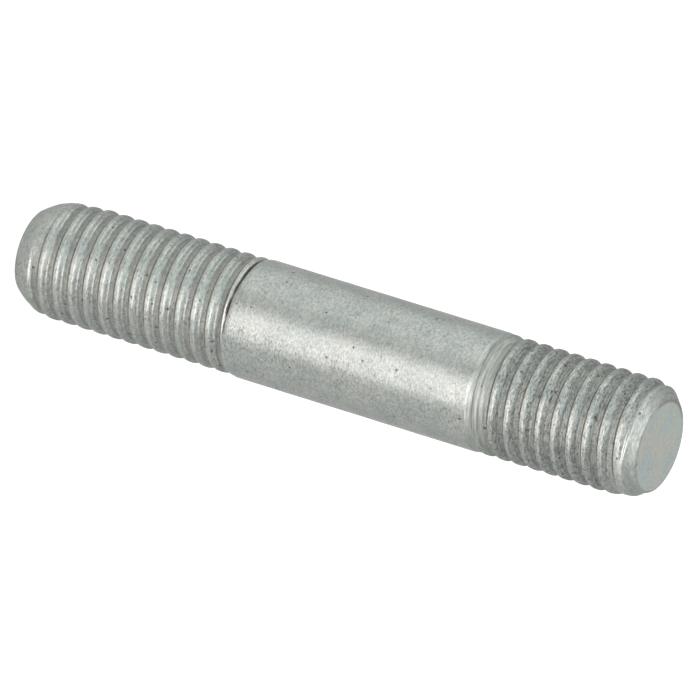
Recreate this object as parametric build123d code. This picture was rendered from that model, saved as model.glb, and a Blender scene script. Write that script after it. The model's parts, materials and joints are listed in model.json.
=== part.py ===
"""Double-ended stud bolt, M14 x 2: a plain shank with a right-hand thread rolled on each end.

Millimetres. The stud stands on the middle of its lower end, with its axis along +Z. Each thread is a
real helical groove cut into a turned blank. At its inner end the groove fades out against a cone,
as the lead of the thread roll leaves it.
"""

import os
from math import ceil

from build123d import *

# Whole stud
length = 81.0
shank_diameter = 14.0

# Thread form, shared by both ends: a V groove between the crests
pitch = 2.0
crest_flat = pitch / 4
thread_depth = 0.32 * pitch  # about half of a rolled thread's depth, which keeps the facets few
crest_fall = 0.04  # how much lower the crests are at a thread's outer end than at its run-out

# Lower thread: the long one, with a short run-out
lower_major = 13.8
lower_thread = 28.5  # from the lower end to where the groove is gone
lower_runout = 1.25  # length over which the groove fades
lower_turn = 79.0  # angle at which the groove's middle crosses the lower end
lower_flat = 10.0  # diameter of the end face
lower_lead = 2.2  # height of the lead chamfer

# Upper thread: the short one, with a long run-out
upper_major = 13.88
upper_thread = 21.3
upper_runout = 3.3
upper_turn = 153.0
upper_flat = 10.9
upper_lead = 1.5

# Narrow bands between a run-out and the shank's edge
lower_land = 0.15
upper_land = 0.3

relief = 0.08  # how far the cutting form stands out of the crests
margin = 0.2  # how far the run-out cones go past the groove's root and crest


def turned_blank():
    """The stud before its threads are rolled: two end zones and the shank, on one axis."""
    lower_radius, upper_radius, shank = lower_major / 2, upper_major / 2, shank_diameter / 2
    shank_start = lower_thread + lower_land
    shank_end = length - upper_thread - upper_land
    outline = Polyline(
        (0, 0),
        (lower_flat / 2, 0),
        (lower_radius - crest_fall, lower_lead),
        (lower_radius, shank_start),
        (shank, shank_start + (shank - lower_radius)),
        (shank, shank_end - (shank - upper_radius)),
        (upper_radius, shank_end),
        (upper_radius - crest_fall, length - upper_lead),
        (upper_flat / 2, length),
        (0, length),
        close=True,
    )
    return revolve(Plane.XZ * make_face(outline), Axis.Z)


def helical_form(major, start, turns):
    """The space between two crests as one solid, wound up from height start, at angle 0."""
    root, outer = major / 2 - thread_depth, major / 2 + relief
    half_width = (pitch - crest_flat) / 2 * (outer - root) / thread_depth
    corners = [(root, 0), (outer, -half_width), (outer, half_width)]
    faces = []
    for turn in range(turns):
        base = start + turn * pitch
        rails = [Pos(0, 0, base + rise) * Helix(pitch, pitch, radius).edge() for radius, rise in corners]
        faces += [Face.make_surface_from_curves(rails[i - 1], rails[i]) for i in range(len(rails))]
        if turn == 0:
            faces.append(Face(Wire.make_polygon([rail @ 0 for rail in rails], close=True)))
    faces.append(Face(Wire.make_polygon([rail @ 1 for rail in rails], close=True)))
    return Solid(Shell(faces))


def runout_cone(major, full, gone, far):
    """Steel that the groove doesn't reach: a cone from the root, at height full, to the crest, at gone."""
    radius = major / 2
    slope = thread_depth / (gone - full)
    outline = Polyline(
        (0, full - margin / slope),
        (radius - thread_depth - margin, full - margin / slope),
        (radius + margin, gone + margin / slope),
        (radius + margin, far),
        (0, far),
        close=True,
    )
    return revolve(Plane.XZ * make_face(outline), Axis.Z)


def groove(major, end, gone, runout, turn):
    """One thread's groove, from past the stud's end to where it is gone, turned to its place."""
    inward = 1 if gone > end else -1
    turns = ceil(abs(gone - end) / pitch) + 4
    start = min(end, gone) - 2 * pitch
    form = helical_form(major, start, turns)
    far = gone + inward * 4 * pitch
    form -= runout_cone(major, gone - inward * runout, gone, far)
    # at the end face the groove's middle lies at the angle named by turn
    crossed = 360 * (end - start) / pitch
    return Rot(0, 0, turn - crossed) * form


stud = turned_blank()
stud -= groove(lower_major, 0.0, lower_thread, lower_runout, lower_turn)
stud -= groove(upper_major, length, length - upper_thread, upper_runout, upper_turn)

os.makedirs("parts", exist_ok=True)
export_step(stud, "parts/stud.step")
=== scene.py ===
"""The stud bolt's looks: one zinc-plated steel stud on a plain pale floor, in soft studio light.

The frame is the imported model's: the axis is +Z, and the longer thread stands on the floor. The stud's shape
is worked out in millimetres, and Blender gets metres. One mesh stands for the CAD solid. Its rows run from
the middle of the lower end face, over the rim and up the side, to the middle of the upper end face. Along
the threads they climb one pitch a turn, as the grooves do.
"""

import json
from dataclasses import dataclass
from math import cos, pi, radians, sin

import bpy
import numpy as np
from mathutils import Matrix, Vector


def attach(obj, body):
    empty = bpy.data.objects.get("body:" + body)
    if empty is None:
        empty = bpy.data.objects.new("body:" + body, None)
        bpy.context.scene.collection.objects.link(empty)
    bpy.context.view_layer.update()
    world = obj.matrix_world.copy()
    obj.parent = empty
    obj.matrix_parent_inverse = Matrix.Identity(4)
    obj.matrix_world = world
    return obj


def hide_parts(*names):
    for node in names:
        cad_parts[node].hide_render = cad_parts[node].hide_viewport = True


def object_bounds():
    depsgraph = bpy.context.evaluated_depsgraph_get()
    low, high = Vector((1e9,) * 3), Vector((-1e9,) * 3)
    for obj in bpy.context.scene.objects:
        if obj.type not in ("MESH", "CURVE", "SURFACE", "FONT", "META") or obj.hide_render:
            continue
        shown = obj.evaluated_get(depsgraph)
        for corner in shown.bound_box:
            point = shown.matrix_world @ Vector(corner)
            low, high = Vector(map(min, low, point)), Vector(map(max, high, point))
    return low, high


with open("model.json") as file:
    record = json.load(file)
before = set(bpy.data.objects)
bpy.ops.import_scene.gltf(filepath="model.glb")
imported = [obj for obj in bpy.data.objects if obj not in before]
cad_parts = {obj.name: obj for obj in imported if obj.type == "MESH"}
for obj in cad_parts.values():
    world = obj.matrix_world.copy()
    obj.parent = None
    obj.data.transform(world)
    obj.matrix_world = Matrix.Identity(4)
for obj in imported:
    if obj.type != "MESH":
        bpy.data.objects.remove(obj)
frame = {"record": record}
cad_low, cad_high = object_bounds()

# ---------------------------------------------------------------- sizes, in millimetres

MM = 0.001
mounts = {mount["name"]: mount for mount in frame["record"]["mounts"]}
length = (cad_high.z - cad_low.z) / MM
skin_inset = 0.01  # keeps the shank's skin inside the CAD solid
shank = mounts["shank"]["dims"]["r_mm"] - skin_inset
pitch = 2.0


@dataclass
class Thread:
    """One end's thread. Heights run from the stud's lower end, angles from +X in turns."""

    name: str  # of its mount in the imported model
    end: float
    inward: int  # +1 where the thread runs up from its end, -1 where it runs down
    phase: float  # height at which a crest's middle crosses +X, less whole pitches
    runout: float
    flat: float  # radius of the end face
    shift: float  # how much further that face reaches towards +X
    lead: float  # length of the chamfer
    rounding: float  # how softly the chamfer meets the side
    depth: float
    lean: float  # how far a crest's top lies towards the upper end
    start: float  # share of the full depth that the first groove has
    shallow: float  # how far from the end it has that share only
    filled: float  # how much further in that is towards -X
    follows: int  # 1 where the grooves follow the rounded end, 0 where it cuts them off

    def __post_init__(self):
        dims = mounts[self.name]["dims"]
        self.major = dims["r_mm"]
        self.gone = self.end + self.inward * dims["length_mm"]
        self.full = self.gone - self.inward * self.runout

    def from_end(self, z):
        return self.inward * (z - self.end)

    def inside(self, z):
        """Distance from where the thread is gone, above 0 on the thread's side."""
        return self.inward * (self.gone - z)


lower = Thread(
    "lower_thread",
    end=0.0,
    inward=1,
    phase=0.64,
    runout=1.25,
    flat=5.15,
    shift=-0.05,
    lead=2.4,
    rounding=1.3,
    depth=0.46,
    lean=0.08,
    start=0.06,
    shallow=1.1,
    filled=1.8,
    follows=1,
)
upper = Thread(
    "upper_thread",
    end=length,
    inward=-1,
    phase=1.27,
    runout=3.3,
    flat=5.45,
    shift=0.15,
    lead=1.5,
    rounding=0.3,
    depth=0.63,
    lean=0.07,
    start=0.3,
    shallow=0.8,
    filled=-2.5,
    follows=0,
)

# a crest across the thread: the first of each pair is towards the upper end, the second towards the lower
crest_up, crest_down = 0.14, 0.42  # how far it reaches, where its flanks would meet the full radius
edge_up, edge_down = 0.14, 0.12  # how far in from there its edges begin to round
round_up, round_down = 0.50, 0.12  # radii of its edges
slope_up, slope_down = 1.05, 2.2  # of its flanks
crown = 0.03  # how far its top has fallen 1 mm from its middle

crest_blend, root_blend, rim_blend = 0.12, 0.16, 0.10  # how softly crests, roots and the ends' rims turn

reach = 1.0  # how far past a thread's end its profile is still worked out
step_past, step_half = 0.15, 0.12  # how far past it the radius steps up to the shank's, and half the step
first_grooves = 2.4  # length over which the grooves deepen to their full depth
side_loss = 0.22  # share of a groove's depth that is missing towards +X and -X
lower_wear, upper_wear = 0.24, 0.40  # the most that the first crests have lost
thread_waves, plain_waves = 0.012, 0.008  # unevenness of the threads and of the shank
scratched = 2.6  # length from the upper thread's lower end over which no crest is smooth

# sides of the stud, as angles in turns
left = 0.50  # -X
chamfer_highlight_side = 0.70  # side on which the upper chamfer has painted highlight streaks
tip_highlight_side = 0.685  # side on which the lower crest tips have painted highlights
crease_end = 0.96  # where the crease above the lower thread fades out

# ---------------------------------------------------------------- surface


def smax(a, b, width):
    """The larger of two, rounded where they cross within width of each other."""
    return np.maximum(a, b) + np.maximum(width - np.abs(a - b), 0) ** 2 / (4 * width)


def smin(a, b, width):
    return -smax(-a, -b, width)


def ease(x, start, stop):
    """0 up to start, 1 from stop on."""
    t = np.clip((x - start) / (stop - start), 0, 1)
    return t * t * (3 - 2 * t)


def fall(x, start, stop):
    """1 up to start, 0 from stop on."""
    return ease(-x, -stop, -start)


def bump_at(x, width):
    return np.exp(-((x / width) ** 2))


def towards(turn, side):
    """1 on the given side of the stud, 0 on the opposite side."""
    return 0.5 + 0.5 * np.cos(2 * pi * (turn - side))


def ripple(turn, z, waves, seed):
    """A smooth uneven height of about -1 to 1, the same at 0 and 1 turn. waves: (per turn, per mm)."""
    rng = np.random.default_rng(seed)
    total = np.zeros_like(z)
    for around, along in waves:
        for _ in range(3):
            m = int(rng.integers(1, around + 1))
            k = rng.uniform(-along, along)
            total += np.sin(2 * pi * (m * turn + k * z + rng.uniform()))
    return total / (3 * len(waves)) ** 0.5 / 1.5


def across(z, turn, height):
    """Distance up from the nearest turn of the right-hand helix that crosses +X at a height."""
    return (z - height - pitch * turn + pitch / 2) % pitch - pitch / 2


def blank(z, turn):
    """The stud's radius without its threads."""
    r = np.full_like(z, shank)
    for thread in (lower, upper):
        inside = thread.inside(z) + step_past
        stepped = shank - (shank - thread.major) * ease(inside, -step_half, step_half)
        r = np.where(inside > -reach, stepped, r)
        flat = thread.flat + thread.shift * np.cos(2 * pi * turn)
        chamfer = flat + (thread.major - flat) / thread.lead * thread.from_end(z)
        r = smin(r, chamfer, thread.rounding)
    # the lower end's crests are worn low towards -X, the upper end's towards +X
    side = towards(turn, left)
    r = r - lower_wear * side**2 * fall(z, 4.0, 7.5)
    r = r - upper_wear * (1 - side) ** 2 * ease(z, length - 4.6, length - 1.8) * fall(z, length - 1.0, length)
    return r


def lower_edge(z, turn):
    """What the rolling left where the lower thread meets the shank, with painted shade along its crease:
    (height, dark line).
    """
    crease_at, crease_deep, crease_wide = lower.gone - 0.28, 0.13, 0.12
    ridge_below, ridge_high, ridge_wide = 0.42, 0.05, 0.16
    shade_above, shade_wide = 0.04, 0.17
    worn_from, worn_deep = lower.gone - 0.8, 0.07
    share = ease(1 - towards(turn, crease_end), 0.03, 0.35) * (0.85 + 0.3 * ripple(turn, z, [(9, 0.1)], 21))
    at = z - crease_at - 0.05 * ripple(turn, 0 * z, [(6, 0.1)], 22)
    jagged = ease(ripple(turn, z, [(24, 0.1)], 23), -1.6, 0.2)
    crease = share * bump_at(at, crease_wide)
    # painted shade: a dark line along the crease, a little above its middle and broken in places
    dark_lines = 2.0 * share * bump_at(at - shade_above, shade_wide) * jagged
    ridge = share * bump_at(at + ridge_below, ridge_wide)
    wear_and_highlight = share * (1 - ease(z, lower.gone - 0.2, lower.gone + 0.9)) * (z > worn_from)
    return ridge_high * ridge - crease_deep * crease - worn_deep * wear_and_highlight, dark_lines


def upper_scratches(z, turn):
    """Fine helical lines over the upper thread's run-out: (height, dull)."""
    wide, wander = 0.09, 0.06
    zone = ease(z, upper.gone - 0.05, upper.gone + 0.15) * fall(z, upper.gone + 2.0, upper.gone + 2.9)
    lines = np.zeros_like(z)
    for i, (start, deep) in enumerate(((0.0, 0.04), (0.48, 0.045), (0.90, 0.04), (1.50, 0.03))):
        at = across(z, turn, upper.gone + start) + wander * ripple(turn, z, [(8, 0.4)], 31 + i)
        broken = ease(ripple(turn, z, [(14, 0.3)], 41 + i), -0.2, 0.5)
        lines += deep * broken * bump_at(at, wide)
    return -zone * lines, zone


def grooved(base, z, turn, thread):
    """(radius, distance up from a crest's middle, share of full thread, plainness) of one thread."""
    wander = 0.03 * ripple(turn, z, [(5, 0.15)], 3)
    offset = across(z, turn, thread.phase) + wander - thread.lean
    in_from_end = thread.from_end(z) - thread.filled * towards(turn, left)
    deepened = ease(in_from_end, thread.shallow, thread.shallow + first_grooves)
    first = thread.start + (1 - thread.start) * deepened
    top = thread.major - thread.follows * np.maximum(thread.major - base, 0)
    # shallower towards +X and -X, the two sides whose outline the photo shows; the cause isn't known
    depth = thread.depth * first * (1 - side_loss * np.cos(2 * pi * turn) ** 2)
    run = thread.inward * (z - thread.full) / abs(thread.gone - thread.full)
    root = top - depth * (1 - np.maximum(run, 0))
    full = np.clip((base - root) / depth, 0, 1)
    over = np.maximum(offset - crest_up + edge_up, 0)
    under = np.maximum(-offset - crest_down + edge_down, 0)
    crest = base - full * (over**2 / (2 * round_up) + under**2 / (2 * round_down) + crown * offset**2)
    flank = top - np.maximum(slope_up * (offset - crest_up), slope_down * (-offset - crest_down))
    cut = smax(smin(crest, flank, crest_blend), root, root_blend)
    plain = thread.follows * (1 - ease(first, 0.1, 0.7))
    return np.minimum(cut, base), offset, full, plain


def surface(z, turn):
    """(radius, distance up from a crest's middle, share of full thread, painted shade along the lower crease,
    dull) at a place.
    """
    base = blank(z, turn)
    values = [base, np.zeros_like(z), np.zeros_like(z), np.zeros_like(z)]
    for thread in (lower, upper):
        near = thread.inside(z) > -reach
        values = [np.where(near, new, old) for new, old in zip(grooved(base, z, turn, thread), values)]
    r, offset, full, plain = values
    r = r + full * (thread_waves * ripple(turn, z, [(7, 0.25), (16, 0.9)], 5) - thread_waves)
    r = r + plain_waves * (ripple(turn, z, [(4, 0.08), (9, 0.3)], 8) - 1) * (1 - full)
    edge, dark_lines = lower_edge(z, turn)
    scratches, dull = upper_scratches(z, turn)
    return np.minimum(r + edge + scratches, shank), offset, full * (1 - plain), dark_lines, dull


def chamfer_highlights_and_rim(q, z, turn, offset):
    """(share of upper chamfer, painted highlights on it and on the lower crest tips, a darker line at the
    upper rim towards -X), which only the colours show.
    """
    chamfer = ease(q, length - 1.5, length - 0.9) * fall(q, length - 0.25, length + 0.05)
    # painted highlights, on the lower crest tips and on the upper chamfer
    tip_highlight_mask = bump_at(turn - tip_highlight_side, 0.035) * bump_at(offset + 0.05, 0.3)
    tips = ease(z, 1.2, 2.6) * fall(z, 5.5, 7.5) * tip_highlight_mask
    painted_highlights = chamfer * ease(towards(turn, chamfer_highlight_side), 0.80, 0.97) + 0.2 * tips
    rim_dark_line = 0.7 * bump_at(q - length - 0.25, 0.16) * ease(towards(turn, left), 0.80, 0.95)
    return chamfer, painted_highlights, rim_dark_line


# ---------------------------------------------------------------- mesh

TURNED, ROLLED, CREST = 0, 1, 2  # slots of the stud's materials


def path_stops(row):
    """Distances along the path from face middle to face middle, one per mesh row.

    Zero is the lower rim. Below it the path runs over the lower face, above length over the upper one.
    """
    inner = 0.6  # radius at which the rows of an end face stop
    over_rim, past_thread = 0.25, 0.6  # how far the threads' fine rows go on
    face_rows, shank_rows = 30, 75
    lower_face = np.linspace(-(lower.flat - inner), -over_rim, face_rows)
    lower_side = np.arange(-over_rim + row, lower.gone + past_thread, row)
    plain_side = np.linspace(lower_side[-1], upper.gone - past_thread, shank_rows + 1)[1:]
    upper_side = np.arange(plain_side[-1] + row, length + over_rim, row)
    upper_face = np.linspace(upper_side[-1], length + upper.flat - inner, face_rows + 1)[1:]
    return np.concatenate([lower_face, lower_side, plain_side, upper_side, upper_face])


def stud_mesh(columns=104, rows_per_turn=26):
    """(vertices, quads, the loop of vertices round each end's middle, what each vertex is marked with)."""
    stops = path_stops(pitch / rows_per_turn)
    used = len(stops) - rows_per_turn
    column = np.arange(columns)[None, :]
    path_row = np.arange(used)[:, None] + rows_per_turn * column / columns
    turn = np.broadcast_to(column / columns, path_row.shape)
    q = np.interp(path_row, np.arange(len(stops)), stops)
    z = length - smax(0, length - smax(0, q, rim_blend), rim_blend)
    r, offset, full, dark_lines, dull = surface(z, turn)
    low_in, high_in = smax(0, -q, rim_blend), smax(0, q - length, rim_blend)
    r = r - low_in - high_in
    verts = np.stack([r * np.cos(2 * pi * turn), r * np.sin(2 * pi * turn), z], -1) * MM

    index = np.arange(used * columns).reshape(used, columns)
    side = (index[:-1, :-1], index[:-1, 1:], index[1:, 1:], index[1:, :-1])
    # the last column joins the first, one turn's rows further on
    k = rows_per_turn
    last, first = index[:, -1], index[:, 0]
    seam = (last[: used - k - 1], first[k : used - 1], first[k + 1 : used], last[1 : used - k])
    quads = np.concatenate([np.stack(corners, -1).reshape(-1, 4) for corners in (side, seam)])
    low_loop = list(index[0, :]) + list(first[k::-1][:-1])
    high_loop = list(index[-1, :][::-1]) + list(last[used - 1 - k : used - 1])

    end = ease(low_in + high_in, 0.05, 0.25)
    chamfer, painted_highlights, rim_dark_line = chamfer_highlights_and_rim(q, z, turn, offset)
    marks = {
        "crest": np.cos(pi * offset),
        "side": np.sin(pi * offset),
        "thread": ease(full, 0.3, 1.0) * (1 - end),
        # painted shade along the lower crease, and a darker line at the upper rim
        "dark_lines": dark_lines + rim_dark_line,
        "dull": dull + 0.7 * chamfer,
        "end": end,
        # painted highlights on the upper chamfer and the lower crest tips
        "wear_and_highlight": painted_highlights,
    }
    marks = {name: values.reshape(-1) for name, values in marks.items()}
    return verts.reshape(-1, 3), quads, (low_loop, high_loop), marks


def paint_faces(mesh, marks):
    """The shank and the crests' tops were turned or worn smooth, the rest was not."""
    crest_half = 0.34  # from a crest's middle to where its smooth top ends
    crest, full = marks["crest"], marks["thread"]
    for poly in mesh.polygons:
        poly.use_smooth = True
        z = poly.center.z / MM
        corners = [v for v in poly.vertices if v < len(crest)]
        on_top = min(crest[v] for v in corners) > cos(pi * crest_half)
        on_crest = on_top and min(full[v] for v in corners) > 0.5
        if lower.gone < z < upper.gone:
            poly.material_index = TURNED
        elif on_crest and not upper.gone < z < upper.gone + scratched:
            poly.material_index = CREST
        else:
            poly.material_index = ROLLED


def build_stud():
    verts, quads, loops, marks = stud_mesh()
    off_axis = 0.00015  # each end closes on a point a little off the axis, in metres
    middles = np.array([[0.0, -off_axis, 0.0], [0.0, off_axis, length * MM]])
    points = [tuple(p) for p in np.concatenate([verts, middles])]
    polys = [tuple(int(v) for v in quad) for quad in quads]
    for middle_point, loop in enumerate(loops, start=len(verts)):
        for here, following in zip(loop, loop[1:] + loop[:1]):
            polys.append((middle_point, int(following), int(here)))
    mesh = bpy.data.meshes.new("stud_skin")
    mesh.from_pydata(points, [], polys)
    mesh.update()
    for name, values in marks.items():
        attribute = mesh.attributes.new(name, "FLOAT", "POINT")
        at_middles = [float(name == "end")] * len(middles)
        attribute.data.foreach_set("value", np.concatenate([values, at_middles]).astype(np.float32))
    paint_faces(mesh, marks)
    mesh.validate()
    skin = bpy.data.objects.new("stud_skin", mesh)
    bpy.context.collection.objects.link(skin)
    return skin


# ---------------------------------------------------------------- materials


class Nodes:
    """Adds nodes to a tree and links them, in one call each. A colour is given as three numbers."""

    def __init__(self, tree):
        self.tree = tree
        tree.nodes.clear()

    def feed(self, socket, value):
        """Link a node's output to a socket, or set the socket."""
        if isinstance(value, bpy.types.NodeSocket):
            self.tree.links.new(value, socket)
        elif socket.type == "RGBA":
            socket.default_value = (*value, 1)
        else:
            socket.default_value = value

    def add(self, kind, inputs=None, **settings):
        node = self.tree.nodes.new(kind)
        for key, value in settings.items():
            setattr(node, key, value)
        for key, value in (inputs or {}).items():
            self.feed(node.inputs[key], value)
        return node

    def math(self, operation, *values, clamp=False):
        inputs = dict(enumerate(values))
        return self.add("ShaderNodeMath", inputs, operation=operation, use_clamp=clamp).outputs[0]

    def times(self, a, b):
        return self.math("MULTIPLY", a, b)

    def scaled(self, vector, scale):
        return self.add("ShaderNodeVectorMath", {0: vector, 1: scale}, operation="MULTIPLY").outputs[0]

    def noise(self, vector, scale, detail=2.0, rough=0.5):
        inputs = {"Vector": vector, "Scale": scale, "Detail": detail, "Roughness": rough}
        return self.add("ShaderNodeTexNoise", inputs).outputs["Fac"]

    def ramp(self, value, low, high, out_low=0.0, out_high=1.0, shape="SMOOTHSTEP"):
        inputs = {"Value": value, "From Min": low, "From Max": high, "To Min": out_low, "To Max": out_high}
        return self.add("ShaderNodeMapRange", inputs, interpolation_type=shape).outputs[0]

    def bands(self, value, stops):
        node = self.add("ShaderNodeValToRGB", {"Fac": value})
        node.color_ramp.interpolation = "EASE"
        elements = node.color_ramp.elements
        for i, (position, color) in enumerate(stops):
            stop = elements[i] if i < len(elements) else elements.new(position)
            stop.position, stop.color = position, (*color, 1)
        return node.outputs["Color"]

    def mix(self, fac, a, b, blend="MIX"):
        node = self.add("ShaderNodeMix", data_type="RGBA", blend_type=blend)
        for name, value in (("Factor", fac), ("A", a), ("B", b)):
            self.feed(next(s for s in node.inputs if s.name == name and s.enabled), value)
        return next(s for s in node.outputs if s.enabled)

    def tinted(self, color, by):
        return self.mix(1.0, color, by, "MULTIPLY")


def specks(n, place, grain_place, x, gritty):
    """Dark specks: in patches, on gritty places, and in clusters towards +X short of the outline."""
    dots = n.ramp(n.noise(grain_place, 3.2, 2.0, 0.5), 0.56, 0.64)
    patches = n.ramp(n.noise(place, 0.5), 0.4, 0.62)
    clusters = n.times(n.ramp(x, -0.8, 2.0, 0.0, 1.4), n.ramp(x, 6.2, 3.6))
    clusters = n.times(clusters, n.ramp(n.noise(place, 0.55, 1.0), 0.38, 0.60, 0.35, 1.1))
    share = n.math("MAXIMUM", clusters, n.math("MAXIMUM", patches, n.times(gritty, 1.6)))
    return n.times(dots, share)


def pits(n, place, end):
    """Dark pits, in a few cells of a coarse and of a fine net, faint on the end faces."""
    pit = 0.0
    for scale, share, radius in ((0.42, 0.45, 0.20), (1.0, 0.20, 0.15)):
        cells = n.add("ShaderNodeTexVoronoi", {"Vector": place, "Scale": scale, "Randomness": 1.0})
        pick = n.add("ShaderNodeSeparateColor", {"Color": cells.outputs["Color"]}).outputs[0]
        few = n.math("GREATER_THAN", pick, 1 - share)
        spot = n.ramp(cells.outputs["Distance"], radius * scale * 1.15, radius * scale * 0.7)
        pit = n.math("MAXIMUM", n.times(spot, few), pit)
    return n.times(pit, n.ramp(end, 0, 1, 1.0, 0.25))


def thread_shading_bands(n, u, coarse):
    """Tones across each thread, at half their strength, upwards from root through crest to root.

    The crest has the full tone. The flank that faces up is duller and dark at its foot, and the one that
    faces down is brown. The tones were matched to the photo from its one camera, so they partly stand for
    shading. coarse is 0 for the lower thread and 1 for the upper one.
    """
    # painted light and shade across the thread: the brighter crest is partly its own worn shine and partly a
    # painted highlight, and the dark foot of the up-facing flank and the brown band on the flank that faces
    # down are painted shade
    lower_tones, upper_tones = (
        n.bands(
            n.ramp(u, -1, 1, shape="LINEAR"),
            [
                (0.00, (0.35, 0.35, 0.345)),
                (0.10, (0.37, 0.36, 0.35)),
                (0.16, (0.34, 0.30, 0.27)),
                (0.30, under_crest),
                (0.34, (0.50, 0.50, 0.50)),
                (0.54, (0.49, 0.49, 0.49)),
                (0.62, (0.44, 0.44, 0.44)),
                (0.74, (0.42, 0.42, 0.42)),
                (0.81, (0.31, 0.31, 0.31)),
                (0.90, (0.31, 0.31, 0.31)),
                (1.00, (0.35, 0.35, 0.345)),
            ],
        )
        for under_crest in ((0.54, 0.51, 0.48), (0.38, 0.36, 0.34))
    )
    return n.mix(coarse, lower_tones, upper_tones)


def zinc(name, anisotropy, edge_tint, low_rough, high_rough, groove_rough):
    """Dull zinc plate. anisotropy stretches reflections along the stud, as marks that run round it do."""
    material = bpy.data.materials.new(name)
    material.use_nodes = True
    n = Nodes(material.node_tree)
    place = n.scaled(n.add("ShaderNodeTexCoord").outputs["Object"], (1000, 1000, 1000))  # millimetres
    thread, crest, side, dark_lines, dull, end, wear_and_highlight = (
        n.add("ShaderNodeAttribute", attribute_name=mark).outputs["Fac"]
        for mark in ("thread", "crest", "side", "dark_lines", "dull", "end", "wear_and_highlight")
    )
    u = n.math("DIVIDE", n.math("ARCTAN2", side, crest), pi)  # -1 to 1 across a crest, 0 at its middle
    x, _, z = n.add("ShaderNodeSeparateXYZ", {0: place}).outputs
    coarse = n.ramp(z, lower.gone, upper.gone)  # the upper thread is rougher than the lower one

    # grain, a little longer around the stud than along it, and fine lines drawn around it
    grain_place = n.scaled(place, (1, 1, 1.6))
    fine = n.noise(grain_place, 2.3, 5.0, 0.80)
    cloud = n.noise(place, 0.35, 3.0, 0.55)
    drawn = n.noise(n.scaled(place, (1, 1, 7)), 1.1, 3.0, 0.6)
    pit = pits(n, place, end)

    tone = n.mix(n.ramp(cloud, 0.35, 0.65), (0.310, 0.335, 0.315), (0.350, 0.366, 0.340))
    dark, light = n.tinted(tone, (0.74, 0.75, 0.76)), n.tinted(tone, (1.21, 1.19, 1.19))
    grained = n.mix(n.ramp(fine, 0.34, 0.66), dark, light)
    speck = specks(n, place, grain_place, x, n.times(coarse, thread))
    grained = n.mix(n.times(speck, 0.5), grained, (0.14, 0.145, 0.14))
    # the end faces show less grain, and are yellower in some patches and bluer in others
    face = n.mix(n.ramp(cloud, 0.42, 0.58), (0.296, 0.292, 0.252), (0.230, 0.272, 0.268))
    tone = n.mix(end, grained, n.mix(0.35, face, grained))
    # painted highlights: bright streaks on the upper chamfer and on the lower crest tips
    streaks = n.ramp(n.noise(n.scaled(place, (1, 1, 6)), 1.5, 4.0, 0.7), 0.42, 0.60)
    tone = n.mix(n.times(wear_and_highlight, streaks), tone, (0.66, 0.655, 0.63))
    # dull, with fine broken lines, on the upper chamfer and where the upper thread runs out
    scored = n.ramp(n.noise(n.scaled(place, (0.5, 0.5, 5)), 1.0, 3.0, 0.7), 0.40, 0.62)
    dull_tone = n.mix(scored, (0.20, 0.215, 0.198), (0.31, 0.328, 0.305))
    tone = n.mix(n.times(dull, 0.88), tone, dull_tone)
    # the tone times the thread's bands of painted highlight and shade, doubled
    across_thread = n.tinted(n.tinted(tone, thread_shading_bands(n, u, coarse)), (2.0, 2.0, 2.0))
    lines = n.times(n.ramp(drawn, 0.46, 0.64), n.ramp(coarse, 0, 1, 0.35, 1.0))
    across_thread = n.mix(lines, across_thread, n.tinted(across_thread, (0.66, 0.66, 0.65)))
    tone = n.mix(thread, tone, across_thread)
    # dark lines: painted shade along the lower crease, and a darker line at the upper rim towards -X
    tone = n.mix(n.math("MULTIPLY", dark_lines, 0.9, clamp=True), tone, (0.050, 0.040, 0.034))
    tone = n.mix(n.times(pit, 0.8), tone, (0.06, 0.065, 0.06))

    rough = n.ramp(fine, 0.2, 0.8, low_rough, high_rough)
    in_groove = n.times(thread, n.ramp(n.math("ABSOLUTE", u), 0.5, 0.9))
    for mark, more in ((in_groove, groove_rough), (dull, 0.16), (end, 0.3)):
        rough = n.math("ADD", rough, n.times(mark, more))

    lines_height = n.times(n.times(drawn, thread), n.ramp(coarse, 0, 1, 0.3, 1.3))
    height = n.math("ADD", n.times(fine, 0.6), lines_height)
    height = n.math("SUBTRACT", height, pit)
    bump = n.add("ShaderNodeBump", {"Height": height, "Strength": 0.5, "Distance": 0.00008})

    tangent = n.add("ShaderNodeTangent", direction_type="RADIAL", axis="Z")
    shader = n.add(
        "ShaderNodeBsdfPrincipled",
        {
            "Base Color": tone,
            "Metallic": n.ramp(end, 0, 1, 1.0, 0.2),  # the end faces are matt
            "Roughness": rough,
            "Normal": bump.outputs[0],
            "Tangent": tangent.outputs[0],
            "Anisotropic": anisotropy,
            "Anisotropic Rotation": 0.25,
            "Specular Tint": (edge_tint, edge_tint, edge_tint),
        },
    )
    n.add("ShaderNodeOutputMaterial", {"Surface": shader.outputs[0]})
    return material


def seen_directly(n):
    """1 for what the camera, a reflection or a clear material sees, 0 for what lights a surface."""
    path = n.add("ShaderNodeLightPath")
    seen = n.math("MAXIMUM", path.outputs["Is Camera Ray"], path.outputs["Is Glossy Ray"])
    return n.math("MAXIMUM", seen, path.outputs["Is Transmission Ray"])


def floor_paper():
    """White paper: most of its white is its own, so that only a faint shadow shows on it."""
    material = bpy.data.materials.new("floor_paper")
    material.use_nodes = True
    n = Nodes(material.node_tree)
    glow = n.add("ShaderNodeEmission", {"Color": (1, 1, 1), "Strength": n.times(seen_directly(n), 0.9)})
    matt = n.add("ShaderNodeBsdfDiffuse", {"Color": (0.22, 0.22, 0.22)})
    both = n.add("ShaderNodeAddShader", {0: glow.outputs[0], 1: matt.outputs[0]})
    n.add("ShaderNodeOutputMaterial", {"Surface": both.outputs[0]})
    return material


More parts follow.
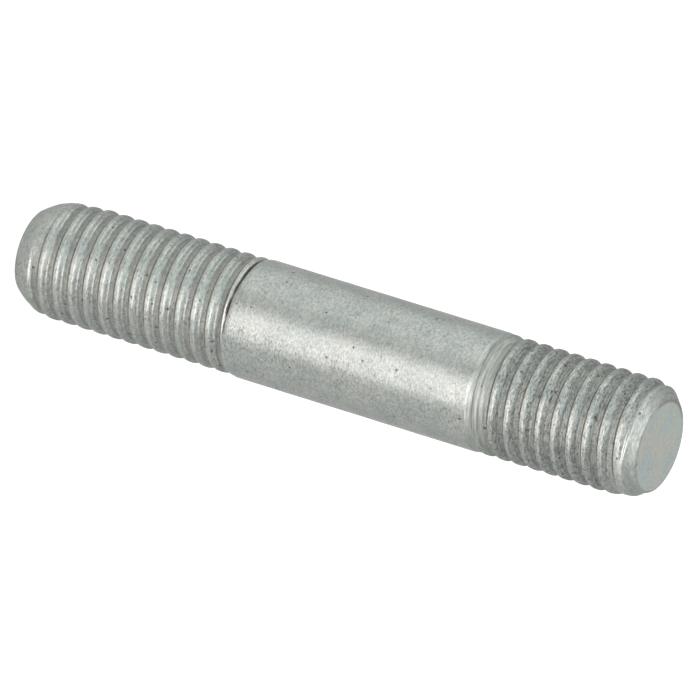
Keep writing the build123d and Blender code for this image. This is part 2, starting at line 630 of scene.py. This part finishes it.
def studio_world():
    world = bpy.data.worlds.new("studio")
    bpy.context.scene.world = world
    world.use_nodes = True
    n = Nodes(world.node_tree)
    back = n.add("ShaderNodeBackground", {"Color": (1, 1, 1), "Strength": 1.0})
    n.add("ShaderNodeOutputWorld", {"Surface": back.outputs[0]})


# ---------------------------------------------------------------- light and camera, in metres

middle = Vector((0, 0, length / 2 * MM))


def direction(azimuth, elevation):
    """Unit vector from the stud: azimuth 0 is towards the camera (-Y), 90 towards +X."""
    a, e = radians(azimuth), radians(elevation)
    return Vector((sin(a) * cos(e), -cos(a) * cos(e), sin(e)))


def softbox(name, azimuth, elevation, distance, size, radiance, color=(1, 1, 1)):
    """A rectangular lamp that faces the stud. radiance 1 looks as bright as white paper."""
    width, height = size
    lamp = bpy.data.lights.new(name, "AREA")
    lamp.shape = "RECTANGLE"
    lamp.size, lamp.size_y = width, height
    lamp.energy = radiance * pi * width * height
    lamp.color = color
    box = bpy.data.objects.new(name, lamp)
    out = direction(azimuth, elevation)
    box.location = middle + out * distance
    box.rotation_euler = out.to_track_quat("Z", "Y").to_euler()
    box.visible_camera = False
    bpy.context.collection.objects.link(box)


def lights():
    softbox("key", 17, 11, 0.72, size=(0.72, 0.27), radiance=10.0, color=(1.0, 0.94, 0.94))
    softbox("top", -30, 62, 0.7, size=(0.60, 0.34), radiance=2.2, color=(0.87, 0.97, 1.0))
    softbox("fill", -72, 11, 0.72, size=(0.90, 0.27), radiance=3.0, color=(0.94, 1.0, 1.0))
    softbox("side", 74, 11, 0.72, size=(0.50, 0.27), radiance=1.0)


def camera():
    """A long lens a little above the stud, rolled so that the stud lies across the picture."""
    elevation, roll = radians(24.8), radians(107.25)
    distance, lens = 1.904, 868.7
    aim_right, aim_down = 0.000440, 0.000370  # from the stud's middle to the picture's
    back = Vector((0, -cos(elevation), sin(elevation)))
    level_right, level_up = Vector((1, 0, 0)), Vector((0, sin(elevation), cos(elevation)))
    right = level_right * cos(roll) + level_up * sin(roll)
    up = level_up * cos(roll) - level_right * sin(roll)
    data = bpy.data.cameras.new("camera")
    data.lens = lens
    data.clip_start, data.clip_end = 0.05, 50
    cam = bpy.data.objects.new("camera", data)
    aim = middle + right * aim_right - up * aim_down
    facing = Matrix((right, up, back)).transposed().to_4x4()
    cam.matrix_world = Matrix.Translation(aim + back * distance) @ facing
    bpy.context.collection.objects.link(cam)
    bpy.context.scene.camera = cam


def floor():
    half, gap = 6.0, 0.00002  # the gap keeps the floor clear of the stud's lower face
    mesh = bpy.data.meshes.new("floor")
    corners = [(-half, -half, -gap), (half, -half, -gap), (half, half, -gap), (-half, half, -gap)]
    mesh.from_pydata(corners, [], [(0, 1, 2, 3)])
    plate = bpy.data.objects.new("floor", mesh)
    mesh.materials.append(floor_paper())
    bpy.context.collection.objects.link(plate)


# ---------------------------------------------------------------- scene

camera()
floor()
studio_world()
lights()

stud = build_stud()
finishes = {
    TURNED: zinc("zinc_turned", 0.9, edge_tint=0.75, low_rough=0.38, high_rough=0.46, groove_rough=0.0),
    ROLLED: zinc("zinc_rolled", 0.0, edge_tint=0.60, low_rough=0.36, high_rough=0.46, groove_rough=0.2),
    CREST: zinc("zinc_crest", 0.6, edge_tint=0.65, low_rough=0.42, high_rough=0.50, groove_rough=0.0),
}
for slot in sorted(finishes):
    stud.data.materials.append(finishes[slot])
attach(stud, "root")
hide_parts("stud")

bpy.context.scene.view_settings.view_transform = "Standard"
